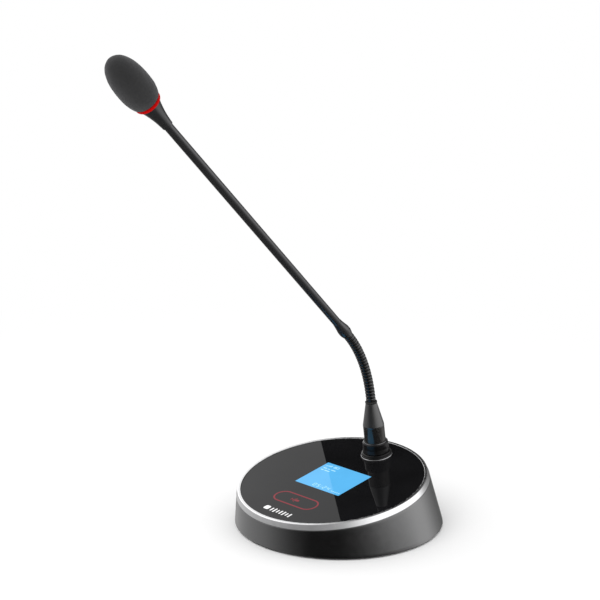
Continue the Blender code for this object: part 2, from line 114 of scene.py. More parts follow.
# Panel, with places in its own frame
SCREEN_SIZE = (45.8, 37.1)
SCREEN_CENTRE = (0.0, 0.9)
SCREEN_GAP = 0.06  # between the display and its window, both sides together
KEY_SIZE = (42.0, 16.0)
KEY_CENTRE = (0.5, -40.3)
KEY_LINE = 1.3
MARK_CENTRE = (0.8, -60.5)
MARK_BARS = 7
PRINT_LIFT = 0.04  # print stands this far above the glass

# Socket and plug, with heights above the glass
FLANGE_BORE = 9.2
SOCKET_HOLE = 9.3  # radius of the hole in the glass
SLEEVE_RADIUS = 7.2  # of the barrel's part inside the socket
BARREL_RADIUS = 8.3
BARREL_FOOT = -10.0
BARREL_TOP = 25.1
CONE_TOP = 44.5

# Neck
NECK_LINKS = 12
NECK_RADIUS = 3.8
NECK_GROOVE = 3.25  # radius where a rib ends
NECK_SEAM = 3.05  # radius of the seam between a link's two ribs
SEAM_HALF, RIB_EDGE = 0.15, 0.25  # from the seam's middle to its edge, and to the ribs
BALL_RADIUS = 3.0
CUP_RADIUS = BALL_RADIUS + 0.12
NECK_BORE = 1.0
NECK_GAP = 0.4  # between the ribs of two links

# Boom and head, with heights from the neck's end
TUBE_RADIUS = 3.3
TUBE_FOOT = 16.1
TUBE_BORE = 2.5
HOLDER_START = 251.0
HOLDER_BORE = 4.9
CABLE_BORE = 2.2
FUNNEL = (258.0, 263.0)  # where the holder's bore opens from the cable's bore
LIGHT_START, LIGHT_END = 274.0, 276.4
FOAM_START = 276.7
FOAM_WIDEST = 291.6
FOAM_RADIUS = 12.65
FOAM_REACH = (21.3, 27.0)  # from its widest place to where its lower and upper ends would close
FOAM_FULLNESS = 2.3  # 2 is an ellipse, and more is fuller
FOAM_BORE = 6.45
FOAM_BORE_END = 307.2
PORE_SCALE, PORE_DEPTH = 2.3, 0.07  # features per millimetre, and millimetres
LUMP_SCALE, LUMP_DEPTH = 0.3, 0.1
SKIN_INSET = 0.12  # keeps the roughened skin inside the CAD's


# ---------------------------------------------------------------- materials


GLASS_IOR = 1.31  # low, as on glass with an anti-glare coat
NOISE_SPAN = (0.3, 0.7)  # the part of a noise's range that counts
RANGE_SOCKETS = ("From Min", "From Max", "To Min", "To Max")


def new_material(name):
    """A new material, its node tree and its shader."""
    made = bpy.data.materials.new(name)
    made.use_nodes = True
    tree = made.node_tree
    return made, tree, tree.nodes["Principled BSDF"]


def set_values(shader, **values):
    """Sets constants on the shader's own sockets, each named in lower case."""
    for name, value in values.items():
        socket = shader.inputs[name.replace("_", " ").title().replace("Ior", "IOR")]
        socket.default_value = (*value, 1.0) if isinstance(value, tuple) else value


def add_node(tree, kind, **settings):
    """Adds a node whose settings are inputs, or else properties of the node."""
    node = tree.nodes.new(kind)
    for name, value in settings.items():
        if name in node.inputs:
            node.inputs[name].default_value = value
        else:
            setattr(node, name, value)
    return node


def noise_of(tree, scale, detail=4.0):
    """Noise in the object's own coordinates; scale counts features per metre."""
    place = add_node(tree, "ShaderNodeTexCoord")
    grain = add_node(tree, "ShaderNodeTexNoise", Scale=scale, Detail=detail)
    tree.links.new(place.outputs["Object"], grain.inputs["Vector"])
    return grain.outputs["Fac"]


def two_colour_ramp(tree, factor, low, high, span):
    """A ramp from one colour to another, over a span of the factor."""
    ramp = add_node(tree, "ShaderNodeValToRGB")
    for stop, position, colour in zip(ramp.color_ramp.elements, span, (low, high)):
        stop.position = position
        stop.color = (*colour, 1.0)
    tree.links.new(factor, ramp.inputs["Fac"])
    return ramp.outputs["Color"]


def vary(tree, factor, socket, low, high):
    """Lets a noise vary a socket between two values or colours."""
    if isinstance(low, tuple):
        tree.links.new(two_colour_ramp(tree, factor, low, high, NOISE_SPAN), socket)
        return
    spread = add_node(tree, "ShaderNodeMapRange")
    for name, number in zip(RANGE_SOCKETS, (*NOISE_SPAN, low, high)):
        spread.inputs[name].default_value = number
    tree.links.new(factor, spread.inputs["Value"])
    tree.links.new(spread.outputs["Result"], socket)


def bump(tree, shader, height, distance, strength):
    """Bumps a shader's surface by a height; distance is the relief's depth in metres."""
    node = add_node(tree, "ShaderNodeBump", Strength=strength, Distance=distance)
    tree.links.new(height, node.inputs["Height"])
    tree.links.new(node.outputs["Normal"], shader.inputs["Normal"])


def metallic_paint(name, dark, light, roughness, metallic=1.0):
    """Paint with fine metal flakes, which vary its colour, on a slightly uneven surface."""
    made, tree, shader = new_material(name)
    set_values(shader, metallic=metallic, ior=1.5)
    vary(tree, noise_of(tree, 9000.0, 2.0), shader.inputs["Base Color"], dark, light)
    vary(tree, noise_of(tree, 220.0), shader.inputs["Roughness"], roughness - 0.015,
         roughness + 0.015)
    bump(tree, shader, noise_of(tree, 5400.0, 2.0), 0.000006, 0.2)
    return made


def polished_metal(name, colour, roughness):
    """Metal with a fine, uneven polish."""
    made, tree, shader = new_material(name)
    set_values(shader, metallic=1.0)
    paler = tuple(min(1.0, c * 1.06) for c in colour)
    vary(tree, noise_of(tree, 900.0, 5.0), shader.inputs["Base Color"], colour, paler)
    vary(tree, noise_of(tree, 300.0), shader.inputs["Roughness"], roughness * 0.8,
         roughness * 1.25)
    bump(tree, shader, noise_of(tree, 2500.0, 3.0), 0.000003, 0.15)
    return made


def moulded_plastic(name, colour, roughness, depth=0.00003, gloss=0.5):
    """Plastic, rubber or print with a fine moulded grain of a given depth in metres."""
    made, tree, shader = new_material(name)
    set_values(shader, ior=1.5, specular_ior_level=gloss)
    paler = tuple(c * 1.25 + 0.001 for c in colour)
    vary(tree, noise_of(tree, 160.0), shader.inputs["Base Color"], colour, paler)
    vary(tree, noise_of(tree, 500.0), shader.inputs["Roughness"], roughness - 0.05,
         roughness + 0.05)
    bump(tree, shader, noise_of(tree, 3500.0, 3.0), depth, 0.4)
    return made


def cover_glass(name, colour):
    """Glass printed black behind: a deep black under a clean gloss, with faint smears."""
    made, tree, shader = new_material(name)
    set_values(shader, ior=GLASS_IOR)
    paler = tuple(c * 1.5 for c in colour)
    vary(tree, noise_of(tree, 30.0, 3.0), shader.inputs["Base Color"], colour, paler)
    vary(tree, noise_of(tree, 45.0, 6.0), shader.inputs["Roughness"], 0.0, 0.02)
    return made


def lit(name, colour, glow, strength, roughness=0.01, gloss=0.5):
    """A surface that shines by itself, under the same gloss as its surroundings."""
    made, tree, shader = new_material(name)
    set_values(shader, ior=GLASS_IOR, specular_ior_level=gloss, roughness=roughness,
               emission_strength=strength)
    dim = tuple(c * 0.94 for c in glow)
    vary(tree, noise_of(tree, 60.0, 2.0), shader.inputs["Emission Color"], dim, glow)
    vary(tree, noise_of(tree, 500.0, 2.0), shader.inputs["Base Color"], colour,
         tuple(c * 1.1 for c in colour))
    return made


def foam_material(name):
    """Open-cell foam: pores painted darker than the slightly paler cell walls between them, which
    is painted shade in the hollows.
    """
    made, tree, shader = new_material(name)
    set_values(shader, roughness=1.0, specular_ior_level=0.1, sheen_weight=0.3,
               sheen_roughness=0.6, sheen_tint=(0.6, 0.6, 0.62))
    place = add_node(tree, "ShaderNodeTexCoord")
    cells = add_node(tree, "ShaderNodeTexVoronoi", Scale=2600.0)
    tree.links.new(place.outputs["Object"], cells.inputs["Vector"])
    # painted shade: the pores take a darker colour than the cell walls, for the shade inside them
    pore_shade, cell_wall = (0.012, 0.012, 0.012), (0.026, 0.026, 0.0265)
    colour = two_colour_ramp(tree, cells.outputs["Distance"], pore_shade, cell_wall, (0.1, 0.75))
    tree.links.new(colour, shader.inputs["Base Color"])
    bump(tree, shader, cells.outputs["Distance"], 0.00025, 0.6)
    return made


GRAPHITE = metallic_paint("graphite_paint", (0.27, 0.27, 0.272), (0.33, 0.33, 0.332), 0.2)
CONE_PAINT = metallic_paint("cone_paint", (0.15, 0.15, 0.15), (0.18, 0.18, 0.182), 0.33)
BRIGHT = polished_metal("bright_rim", (0.90, 0.90, 0.91), 0.13)
BLACK_GLASS = cover_glass("black_glass", (0.005, 0.005, 0.0055))
SCREEN = lit("screen_blue", (0.01, 0.03, 0.05), (0.11, 0.49, 0.90), 1.0)
SCREEN_MARK = lit("screen_mark", (0.05, 0.08, 0.1), (0.42, 0.80, 1.0), 1.0)
KEY_RED = lit("key_red", (0.05, 0.002, 0.003), (0.25, 0.015, 0.03), 0.8)
PRINT_WHITE = moulded_plastic("print_white", (0.86, 0.86, 0.86), 0.35, depth=0.000004)
BLACK_SATIN = moulded_plastic("black_satin", (0.016, 0.016, 0.017), 0.34, depth=0.00001)
COLLAR_BLACK = moulded_plastic("collar_black", (0.004, 0.004, 0.004), 0.2, 0.000003, 0.25)
COLLAR_EDGE = polished_metal("collar_edge", (0.17, 0.17, 0.175), 0.2)
SOCKET_METAL = polished_metal("socket_metal", (0.50, 0.50, 0.51), 0.16)
BARREL_BLACK = metallic_paint(
    "barrel_black", (0.068, 0.065, 0.062), (0.078, 0.075, 0.072), 0.19, 0.86
)
NECK_BLACK = metallic_paint("neck_black", (0.095, 0.095, 0.097), (0.115, 0.115, 0.117), 0.28)
TUBE_BLACK = metallic_paint("tube_black", (0.11, 0.11, 0.113), (0.13, 0.13, 0.133), 0.3, 0.95)
RED_LIGHT = lit("red_light", (0.42, 0.001, 0.001), (0.5, 0.002, 0.001), 0.14, 0.5, gloss=0.1)
FOAM = foam_material("windscreen_foam")
RUBBER = moulded_plastic("rubber", (0.014, 0.014, 0.014), 0.75)
STEEL = polished_metal("plated_steel", (0.52, 0.53, 0.54), 0.35)
BRASS = polished_metal("brass", (0.72, 0.53, 0.26), 0.3)
GOLD = polished_metal("gold", (0.9, 0.66, 0.25), 0.22)
BOARD = moulded_plastic("board_green", (0.02, 0.12, 0.05), 0.45)
JACK_PLASTIC = moulded_plastic("jack_plastic", (0.018, 0.018, 0.02), 0.5)
CAPSULE_METAL = polished_metal("capsule_metal", (0.75, 0.76, 0.78), 0.3)


# ---------------------------------------------------------------- shape helpers


SHARP_ANGLE = 40.0  # edges that turn by more degrees than this are shaded sharp
WIDE_ANGLE = 60.0  # the same for pieces with steeper rounded steps


def add_piece(name, bm, place, paint, body, stands_for=(), smooth=SHARP_ANGLE):
    """Makes a piece from a bmesh in millimetres, and hangs it on its CAD body."""
    bmesh.ops.remove_doubles(bm, verts=bm.verts, dist=0.0005)
    bmesh.ops.recalc_face_normals(bm, faces=bm.faces)
    bmesh.ops.transform(bm, matrix=Matrix.Scale(MM, 4) @ place, verts=bm.verts)
    mesh = bpy.data.meshes.new(name)
    bm.to_mesh(mesh)
    bm.free()
    mesh.shade_smooth()
    mesh.set_sharp_from_angle(angle=math.radians(smooth))
    mesh.materials.append(paint)
    piece = bpy.data.objects.new(name, mesh)
    bpy.context.scene.collection.objects.link(piece)
    weighted = piece.modifiers.new("even_shading", "WEIGHTED_NORMAL")
    weighted.keep_sharp = True
    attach(piece, body)
    if stands_for:
        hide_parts(*stands_for)
    return piece


def rounded(corners, steps=4):
    """A closed outline whose corners are (x, y) or (x, y, radius), with each radius as an arc."""
    points = []
    count = len(corners)
    for i, corner in enumerate(corners):
        here = Vector(corner[:2])
        radius = corner[2] if len(corner) > 2 else 0.0
        back = Vector(corners[i - 1][:2]) - here
        ahead = Vector(corners[(i + 1) % count][:2]) - here
        if radius == 0.0:
            points.append(tuple(here))
            continue
        half = back.angle(ahead) / 2
        reach = min(radius / math.tan(half), 0.49 * back.length, 0.49 * ahead.length)
        radius = reach * math.tan(half)
        inward = (back.normalized() + ahead.normalized()).normalized()
        centre = here + inward * (radius / math.sin(half))
        first = here + back.normalized() * reach - centre
        last = here + ahead.normalized() * reach - centre
        turn = first.angle_signed(last)
        for k in range(steps + 1):
            arm = first.copy()
            arm.rotate(Matrix.Rotation(-turn * k / steps, 2))
            points.append(tuple(centre + arm))
    return points


def ring_faces(bm, loops, closed):
    """Skins a row of loops of equally many points, one loop to the next."""
    pairs = zip(loops, loops[1:] + loops[:1]) if closed else zip(loops, loops[1:])
    for low, high in pairs:
        count = max(len(low), len(high))
        for i in range(count):
            j = (i + 1) % count
            if len(low) == 1:
                bm.faces.new((low[0], high[j], high[i]))
            elif len(high) == 1:
                bm.faces.new((low[i], low[j], high[0]))
            else:
                bm.faces.new((low[i], low[j], high[j], high[i]))


def circle(bm, place, radius, height, sides):
    """Adds a ring of vertices, or a single one on the axis."""
    if radius == 0.0:
        return [bm.verts.new(place @ Vector((0, 0, height)))]
    angles = [math.tau * i / sides for i in range(sides)]
    return [
        bm.verts.new(place @ Vector((radius * math.cos(a), radius * math.sin(a), height)))
        for a in angles
    ]


def turned(name, profile, place, paint, body, stands_for=(), sides=96,
           smooth=SHARP_ANGLE):
    """A turned piece from a closed (radius, height) outline, open where it meets the axis."""
    bm = bmesh.new()
    loops = [circle(bm, WORLD, r, h, sides) for r, h in profile]
    closed = not (profile[0][0] == 0.0 and profile[-1][0] == 0.0)
    ring_faces(bm, loops, closed)
    return add_piece(name, bm, place, paint, body, stands_for, smooth)


def stadium(size, centre, steps=24):
    """An outline with two straight sides and two half circles."""
    length, breadth = size
    radius = breadth / 2
    points = []
    for side, start in ((1, -math.pi / 2), (-1, math.pi / 2)):
        x = centre[0] + side * (length / 2 - radius)
        for i in range(steps + 1):
            a = start + math.pi * i / steps
            points.append((x + radius * math.cos(a), centre[1] + radius * math.sin(a)))
    return points


def oblong(size, centre, radius, steps=6):
    """A rectangular outline with rounded corners."""
    x, y = size[0] / 2, size[1] / 2
    corners = [(x, -y, radius), (x, y, radius), (-x, y, radius), (-x, -y, radius)]
    return [(centre[0] + a, centre[1] + b) for a, b in rounded(corners, steps)]


def slab(bm, outline, low, high, hole=None):
    """Adds an extruded outline to a bmesh, with one hole of as many points if asked."""
    outer = [[bm.verts.new((x, y, z)) for x, y in outline] for z in (low, high)]
    count = len(outline)
    if hole is None:
        bm.faces.new(list(reversed(outer[0])))
        bm.faces.new(outer[1])
        for i in range(count):
            j = (i + 1) % count
            bm.faces.new((outer[0][i], outer[0][j], outer[1][j], outer[1][i]))
        return
    inner = [[bm.verts.new((x, y, z)) for x, y in hole] for z in (low, high)]
    ring_faces(bm, [outer[0], outer[1], inner[1], inner[0]], True)


def cylinder(radius, reach, sides):
    """A cylinder to cut with, which reaches as far down as up."""
    bm = bmesh.new()
    outline = ((0, -reach), (radius, -reach), (radius, reach), (0, reach))
    ring_faces(bm, [circle(bm, WORLD, r, h, sides) for r, h in outline], False)
    return bm


def cut_with(piece, cutter_name, bm, place):
    """Cuts a shape out of a piece for good, and removes the cutter."""
    bmesh.ops.recalc_face_normals(bm, faces=bm.faces)
    bmesh.ops.transform(bm, matrix=Matrix.Scale(MM, 4) @ place, verts=bm.verts)
    mesh = bpy.data.meshes.new(cutter_name)
    bm.to_mesh(mesh)
    bm.free()
    cutter = bpy.data.objects.new(cutter_name, mesh)
    bpy.context.scene.collection.objects.link(cutter)
    modifier = piece.modifiers.new("cut", "BOOLEAN")
    modifier.object = cutter
    modifier.solver = "EXACT"
    piece.modifiers.move(len(piece.modifiers) - 1, 0)
    bpy.context.view_layer.update()
    graph = bpy.context.evaluated_depsgraph_get()
    done = bpy.data.meshes.new_from_object(piece.evaluated_get(graph))
    piece.modifiers.remove(modifier)
    piece.data = done
    bpy.data.objects.remove(cutter)


def block(bm, size, centre):
    """Adds a plain block to a bmesh."""
    made = bmesh.ops.create_cube(bm, size=1.0)["verts"]
    bmesh.ops.scale(bm, vec=size, verts=made)
    bmesh.ops.translate(bm, vec=centre, verts=made)


# ---------------------------------------------------------------- base


def make_base():
    """The tapered wall: lofted from the level foot to the tilted ledge, edges eased."""
    top = -RIM_DEPTH - 0.15  # just clear of the rim
    rings = [
        (WORLD, BASE_RADIUS - WALL, FOOT_Z),
        (WORLD, BASE_RADIUS - 0.9, FOOT_Z),
        (WORLD, BASE_RADIUS - 0.45, FOOT_Z + 0.1),
        (WORLD, BASE_RADIUS - 0.12, FOOT_Z + 0.4),
        (WORLD, BASE_RADIUS, FOOT_Z + 0.9),
        (PANEL, RIM_RADIUS + 0.02, top - 0.2),
        (PANEL, RIM_RADIUS - 0.04, top - 0.05),
        (PANEL, RIM_RADIUS - 0.2, top),
        (PANEL, LEDGE_RADIUS, top),
        (PANEL, LEDGE_RADIUS, top - LEDGE_THICKNESS),
        (PANEL, RIM_RADIUS - WALL - 0.4, top - LEDGE_THICKNESS),
    ]
    bm = bmesh.new()
    loops = [circle(bm, place, radius, height, WALL_SIDES) for place, radius, height in rings]
    foot, ledge = loops[4:6]
    loops[5:5] = [
        [bm.verts.new(low.co.lerp(high.co, i / WALL_STEPS)) for low, high in zip(foot, ledge)]
        for i in range(1, WALL_STEPS)
    ]
    ring_faces(bm, loops, True)
    shell = add_piece("base_wall", bm, WORLD, GRAPHITE, "base", ["base_shell"],
                      WIDE_ANGLE)
    window = bmesh.new()
    slab(window, oblong(PORT_SIZE, (0.0, PORT_Z), 1.2), *PORT_CUT)
    # the slab's z runs along -y here, so it reaches through the back wall
    cut_with(shell, "port_cutter", window, Matrix.Rotation(math.pi / 2, 4, "X"))
    shell.data.set_sharp_from_angle(angle=math.radians(WIDE_ANGLE))


def make_rim():
    """A polished ring: a flat band round the glass that rolls over into a steep outer bevel."""
    inner = GLASS_RADIUS + FIT
    corners = [
        (inner, -RIM_DEPTH + 0.2),
        (RIM_RADIUS - 0.2, -RIM_DEPTH, 0.1),
        (RIM_RADIUS, -RIM_DEPTH + 0.3, 0.2),
        (73.05, 0.42, 0.7),
        (inner + 0.1, 0.36, 0.15),
    ]
    turned("rim", rounded(corners, 10), PANEL, BRIGHT, "base", ["rim_ring"],
           WALL_SIDES, 50)


def make_glass():
    """The cover glass, with a window that the display fills and a hole for the socket."""
    corners = [
        (0.0, -GLASS_THICKNESS),
        (GLASS_RADIUS, -GLASS_THICKNESS),
        (GLASS_RADIUS, 0.0, 0.25),
        (0.0, 0.0),
    ]
    glass = turned("cover_glass", rounded(corners), PANEL, BLACK_GLASS, "base",
                   ["glass_panel"], WALL_SIDES)
    window = bmesh.new()
    slab(window, oblong(SCREEN_SIZE, SCREEN_CENTRE, 0.4), -10.0, 10.0)
    cut_with(glass, "screen_cutter", window, PANEL)
    cut_with(glass, "socket_cutter", cylinder(SOCKET_HOLE, 10, 96), SOCKET)
    glass.data.set_sharp_from_angle(angle=math.radians(SHARP_ANGLE))


def make_display():
    """The lit display in the glass's window, a hair below the glass's face."""
    size = [side - SCREEN_GAP for side in SCREEN_SIZE]
    bm = bmesh.new()
    slab(bm, oblong(size, SCREEN_CENTRE, 0.4), -3.0, -0.01)
    add_piece("display", bm, PANEL, SCREEN, "base", ["display_screen"])
    make_display_marks()


SEGMENTS = {  # of a digit: top, upper left, upper right, middle, lower left, lower right, foot
    "0": (1, 1, 1, 0, 1, 1, 1),
    "2": (1, 0, 1, 1, 1, 0, 1),
    "4": (0, 1, 1, 1, 0, 1, 0),
    "5": (1, 1, 0, 1, 0, 1, 1),
}
SEGMENT_PLACES = ((0, 2), (-1, 1), (1, 1), (0, 0), (-1, -1), (1, -1), (0, -2))


def mark(bm, size, centre, radius, steps=2):
    """Adds a flat mark with rounded corners, which stands a hair above the glass."""
    slab(bm, oblong(size, centre, radius, steps), 0.0, PRINT_LIFT)


def digit(bm, text, centre, height):
    """Adds a seven-segment digit."""
    wide, line = height * 0.5, height * 0.13
    for on, (side, level) in zip(SEGMENTS[text], SEGMENT_PLACES):
        if not on:
            continue
        upright = side != 0
        size = (line, height / 2 - line) if upright else (wide - line, line)
        place = (centre[0] + side * wide / 2, centre[1] + level * (height - line) / 4)
        mark(bm, size, place, line * 0.3)


def signal_meter(bm, x, y):
    """Four bars, each taller than the last."""
    for i in range(4):
        tall = 0.9 + 0.6 * i
        mark(bm, (0.9, tall), (x + 1.4 * i, y + tall / 2), 0.15)


def power_cell(bm, x, y):
    """A cell's outline, with its charge inside."""
    outer, inner = ((5.4, 2.8), 0.5), ((4.4, 1.8), 0.3)
    outline, hole = (oblong(size, (x, y), radius) for size, radius in (outer, inner))
    slab(bm, outline, 0.0, PRINT_LIFT, hole)
    mark(bm, (2.4, 1.0), (x - 0.6, y), 0.2)


def dashes(bm, x, y, lengths):
    """A row of dashes, in the place of small writing."""
    for length in lengths:
        mark(bm, (length, 1.1), (x + length / 2, y), 0.3)
        x += length + 1.2


def timer(bm, x, y):
    """Two pairs of digits with a colon between them."""
    for text, offset in zip("0524", (17.0, 21.0, 27.0, 31.0)):
        digit(bm, text, (x + offset, y + 4.4), 4.2)
    for height in (3.6, 5.2):
        mark(bm, (0.6, 0.6), (x + 24.0, y + height), 0.15)


def make_display_marks():
    """Plain status marks: a signal meter, a cell and two short rows at the top, a timer below."""
    bm = bmesh.new()
    left = SCREEN_CENTRE[0] - SCREEN_SIZE[0] / 2
    top = SCREEN_CENTRE[1] + SCREEN_SIZE[1] / 2
    foot = SCREEN_CENTRE[1] - SCREEN_SIZE[1] / 2
    signal_meter(bm, left + 3.2, top - 5.2)
    power_cell(bm, left + 12.6, top - 3.9)
    dashes(bm, left + 3.0, top - 8.4, (3.4, 2.2, 4.6))
    dashes(bm, left + 3.0, top - 11.4, (2.6, 5.2))
    timer(bm, left, foot)
    for i in range(5):
        mark(bm, (1.1, 1.1), (left + 36.0 + 1.9 * i, foot + 3.0), 0.25)
    add_piece("display_marks", bm, PANEL, SCREEN_MARK, "base")


def make_talk_key():
    """The touch key's outline, and inside it a microphone symbol that lies on its side."""
    bm = bmesh.new()
    inside = (KEY_SIZE[0] - 2 * KEY_LINE, KEY_SIZE[1] - 2 * KEY_LINE)
    slab(bm, stadium(KEY_SIZE, KEY_CENTRE), 0.0, PRINT_LIFT, stadium(inside, KEY_CENTRE))
    add_piece("talk_key_outline", bm, PANEL, KEY_RED, "base")
    bm = bmesh.new()
    x, y = KEY_CENTRE
    slab(bm, stadium((4.6, 2.4), (x + 0.9, y)), 0.0, PRINT_LIFT)
    slab(bm, half_ring((x, y), 2.6, 2.0), 0.0, PRINT_LIFT)
    mark(bm, (1.9, 0.6), (x - 3.4, y), 0.1)
    mark(bm, (0.6, 3.0), (x - 4.5, y), 0.1)
    add_piece("talk_key_symbol", bm, PANEL, KEY_RED, "base")


def half_ring(centre, outer_radius, inner_radius):
    """The outline of a half ring that opens to +x."""
    arc = [math.radians(a) for a in range(90, 271, 12)]
    ends = ((outer_radius, arc), (inner_radius, arc[::-1]))
    return [
        (centre[0] + radius * math.cos(a), centre[1] + radius * math.sin(a))
        for radius, angles in ends for a in angles
    ]


def make_front_mark():
    """A plain mark on the glass: a row of level bars beside a rounded square."""
    bm = bmesh.new()
    x, y = MARK_CENTRE
    mark(bm, (5.0, 5.0), (x - 11.0, y + 0.4), 1.4, 6)
    for i in range(MARK_BARS):
        tall = 3.4 + 2.4 * abs(math.sin(1.1 * i + 0.6))
        mark(bm, (1.3, tall), (x - 5.6 + 3.1 * i, y), 0.6, 3)
    add_piece("front_mark", bm, PANEL, PRINT_WHITE, "base")


def make_underside():
    """The rubber pad, with a hole round each cover screw."""
    corners = [(0, 0), (PAD_RADIUS, 0, 0.5), (PAD_RADIUS, PAD_THICKNESS), (0, PAD_THICKNESS)]
    pad = turned("foot_pad", rounded(corners), WORLD, RUBBER, "base",
                 ["anti_slip_pad"], 160)
    for number in range(1, 5):
        place = middle(f"cover_screw_{number}")
        cut_with(pad, f"pad_cutter_{number}", cylinder(PAD_HOLE_RADIUS, 5, 40),
                 Matrix.Translation((place.x, place.y, 0)))
    pad.data.set_sharp_from_angle(angle=math.radians(SHARP_ANGLE))


def make_ports():
    """The spring contacts inside the two jacks."""
    for name in ("bus_in_jack", "bus_out_jack"):
        low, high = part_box(name)
        x = (low.x + high.x) / 2 / MM
        y = low.y / MM + CONTACT_DEPTH
        bm = bmesh.new()
        for i in range(CONTACTS):
            offset = CONTACT_PITCH * (i - (CONTACTS - 1) / 2)
            block(bm, CONTACT_SIZE, (x + offset, y, CONTACT_Z))
        add_piece(f"{name}_contacts", bm, WORLD, GOLD, "base")


# ---------------------------------------------------------------- socket and plug


def make_socket():
    """The socket's flange: a stepped dome with a fine bright edge against the glass."""
    edge = [
        (FLANGE_BORE, 0.02),
        (12.25, 0.02, 0.1),
        (12.4, 0.4, 0.25),
        (12.15, 0.75, 0.1),
        (FLANGE_BORE, 0.75),
    ]
    turned("socket_edge", rounded(edge), SOCKET, SOCKET_METAL, "base")
    dome = [
        (FLANGE_BORE, 0.75),
        (12.1, 0.76),
        (12.2, 1.2, 0.3),
        (11.9, 1.9, 0.25),
        (11.5, 2.0, 0.1),
        (11.45, 2.7, 0.3),
        (11.0, 3.3, 0.4),
        (10.6, 3.5, 0.1),
        (FLANGE_BORE, 3.5),
    ]
    turned("socket_flange_dome", rounded(dome), SOCKET, COLLAR_BLACK, "base",
           ["socket_flange"])


def make_collar():
    """The plug's lock collar, with a paler lip round its top."""
    bore = BARREL_RADIUS + FIT
    collar = [
        (bore, 3.6),
        (10.3, 3.6, 0.1),
        (10.55, 4.1, 0.3),
        (10.1, 7.0, 3.0),
        (9.9, 11.4, 0.4),
        (9.2, 12.0),
        (bore, 12.0),
    ]
    turned("collar", rounded(collar), SOCKET, COLLAR_BLACK, "lock_ring",
           ["lock_collar"])
    lip = [
        (bore, 12.05),
        (9.15, 12.05),
        (9.2, 12.25, 0.1),
        (8.95, 12.6, 0.15),
        (bore, 12.55),
    ]
    turned("collar_lip", rounded(lip), SOCKET, COLLAR_EDGE, "lock_ring")


def make_barrel():
    """The plug's barrel, with its narrower sleeve in the socket."""
    bore = 6.4
    barrel = [
        (bore, BARREL_FOOT),
        (SLEEVE_RADIUS, BARREL_FOOT, 0.3),
        (SLEEVE_RADIUS, 3.5),
        (BARREL_RADIUS, 3.7, 0.1),
        (BARREL_RADIUS, BARREL_TOP, 0.15),
        (bore, BARREL_TOP),
    ]
    turned("barrel", rounded(barrel), SOCKET, BARREL_BLACK, "plug",
           ["plug_barrel"])


def make_cone():
    """The cone over the barrel, and the bush with the neck's lowest ball in its top."""
    cone = [
        (6.1, 18.0),
        (6.1, BARREL_TOP + 0.1),
        (BARREL_RADIUS - 0.02, BARREL_TOP + 0.1, 0.12),
        (BARREL_RADIUS, 26.2, 1.5),
        (4.45, CONE_TOP - 0.2, 0.3),
        (4.1, CONE_TOP, 0.1),
        (2.2, CONE_TOP),
        (2.2, 37.0),
        (5.0, 26.0),
        (5.0, 18.0),
    ]
    turned("cone", rounded(cone), SOCKET, CONE_PAINT, "plug", ["plug_cone"])
    bush = [
        (1.0, 40.0),
        (1.9, 40.0),
        (1.9, CONE_TOP + 0.05),
        (4.3, CONE_TOP + 0.05, 0.1),
        (4.7, CONE_TOP + 0.4, 0.35),
        (4.7, 45.6, 0.3),
        (3.8, 46.0, 0.2),
        (2.9, 46.0),
    ]
    ball = ball_arc(joint_height())
    turned("bush", rounded(bush) + ball, SOCKET, RUBBER, "plug", ["neck_bush"], 64)


def joint_height():
    """The lowest neck joint's height above the glass."""
    return (SOCKET.inverted() @ joint_place("neck_pitch_1")).z


# ---------------------------------------------------------------- neck


def ball_arc(centre, steps=10):
    """The ball that fills the gap at a joint, seen between two ribs."""
    first = math.asin(-NECK_GAP / BALL_RADIUS)
    last = math.acos(NECK_BORE / BALL_RADIUS)
    angles = [first + (last - first) * i / steps for i in range(steps + 1)]
    return [
        (BALL_RADIUS * math.cos(a), centre + BALL_RADIUS * math.sin(a)) for a in angles
    ]


def cup_arc(steps=6):
    """The cup at a link's lower end, which turns on the ball below it."""
    first = math.acos(NECK_BORE / CUP_RADIUS)
    last = math.asin(NECK_GAP / CUP_RADIUS)
    angles = [first + (last - first) * i / steps for i in range(steps + 1)]
    return [(CUP_RADIUS * math.cos(a), CUP_RADIUS * math.sin(a)) for a in angles]


def neck_points():
    """The neck's joints from the lowest up, and its end."""
    names = [
        f"neck_{'pitch' if k % 2 == 0 else 'side'}_{k // 2 + 1}" for k in range(NECK_LINKS)
    ]
    return [joint_place(name) for name in names] + [NECK_END]


def rib(low, high, steps=8):
    """One turn of the wound tube: a full, rounded crest between two grooves."""
    centre, half = (low + high) / 2, (high - low) / 2
    points = []
    for i in range(steps + 1):
        a = -math.pi / 2 + math.pi * i / steps
        lift = math.cos(a) ** 0.55 if math.cos(a) > 1e-9 else 0.0
        reach = NECK_GROOVE + (NECK_RADIUS - NECK_GROOVE) * lift
        points.append((reach, centre + half * math.sin(a)))
    return points


def make_neck():
    """The flexible neck: two ribs to a link, with a ball in the gap at each joint."""
    points = neck_points()
    for number, (low, high) in enumerate(zip(points, points[1:]), 1):
        length = (high - low).length
        last = number == NECK_LINKS
        top = length if last else length - NECK_GAP
        seam = (NECK_GAP + top) / 2
        end = [(NECK_BORE, length)] if last else ball_arc(length)
        profile = [
            *cup_arc(),
            *rib(NECK_GAP, seam - RIB_EDGE),
            (NECK_SEAM, seam - SEAM_HALF),
            (NECK_SEAM, seam + SEAM_HALF),
            *rib(seam + RIB_EDGE, top),
            *end,
        ]
        body = "boom" if last else f"neck_{number}"
        turned(f"neck_turns_{number}", profile, leaning(low, high - low), NECK_BLACK, body,
               [f"neck_link_{number}"], 48, WIDE_ANGLE)


# ---------------------------------------------------------------- boom and head


